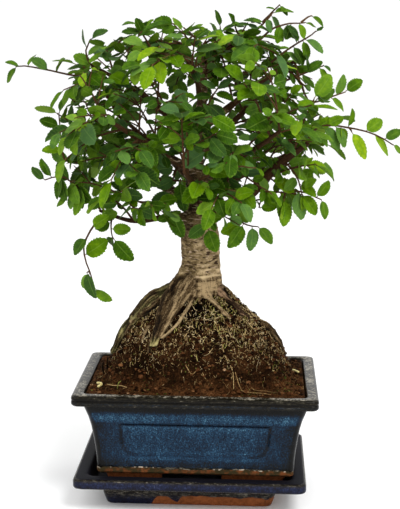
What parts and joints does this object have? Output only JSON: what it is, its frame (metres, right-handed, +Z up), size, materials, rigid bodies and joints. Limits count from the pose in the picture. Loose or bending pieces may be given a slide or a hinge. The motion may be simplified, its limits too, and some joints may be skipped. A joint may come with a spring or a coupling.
{
  "type": "bonsai_tree",
  "caption": "Zelkova bonsai with a domed leafy crown and spreading surface roots, growing on a soil mound in a rectangular blue-glazed pot with a matching saucer.",
  "frame": {"origin": "On the surface that the saucer stands on, under the middle of the pot. The saucer stands slightly off the pot's middle, as in the picture.", "axes": "+X to the right seen from the pot's front, +Y to the back, +Z up"},
  "size_m": [0.3124, 0.2378, 0.396],
  "materials": {
    "saucer_glaze": "glossy dark navy glaze over terracotta, its foot left bare",
    "pot_glaze": "glossy deep blue glaze speckled with turquoise, near black on rim and edges",
    "net_plastic": "matt black plastic mesh",
    "soil_crumb": "dark crumbly soil with fine roots and specks of moss",
    "bark": "dry tan-brown bark with short dark pores",
    "leaf": "semi-gloss green leaves with toothed edges on thin brown twigs"
  },
  "bodies": {
    "root": {"saucer": "saucer_glaze", "pot": "pot_glaze", "drain_net_left": "net_plastic", "drain_net_right": "net_plastic", "soil": "soil_crumb", "tree_wood": "bark", "twig_left_whip": "leaf", "twig_upper_left_upright": "leaf", "twig_left_upright": "leaf", "twig_left_low": "leaf", "twig_left_hanging": "leaf", "twig_left_hanging_front": "leaf", "twig_right_upper": "leaf", "twig_right_whip": "leaf", "twig_right_low": "leaf", "twig_trunk_right": "leaf", "twig_trunk_front": "leaf", "twig_top_right_twig": "leaf", "twig_top_upright": "leaf", "spray_01": "leaf", "spray_02": "leaf", "spray_03": "leaf", "spray_04": "leaf", "spray_05": "leaf", "spray_06": "leaf", "spray_07": "leaf", "spray_08": "leaf", "spray_09": "leaf", "spray_10": "leaf", "spray_11": "leaf", "spray_12": "leaf", "spray_13": "leaf", "spray_14": "leaf", "spray_15": "leaf", "spray_16": "leaf", "spray_17": "leaf", "spray_18": "leaf", "spray_19": "leaf", "spray_20": "leaf", "spray_21": "leaf", "spray_22": "leaf", "spray_23": "leaf", "spray_24": "leaf", "spray_25": "leaf", "spray_26": "leaf", "spray_27": "leaf", "spray_28": "leaf", "spray_29": "leaf", "spray_30": "leaf", "spray_31": "leaf", "spray_32": "leaf", "spray_33": "leaf", "spray_34": "leaf", "spray_35": "leaf"}
  },
  "joints": []
}
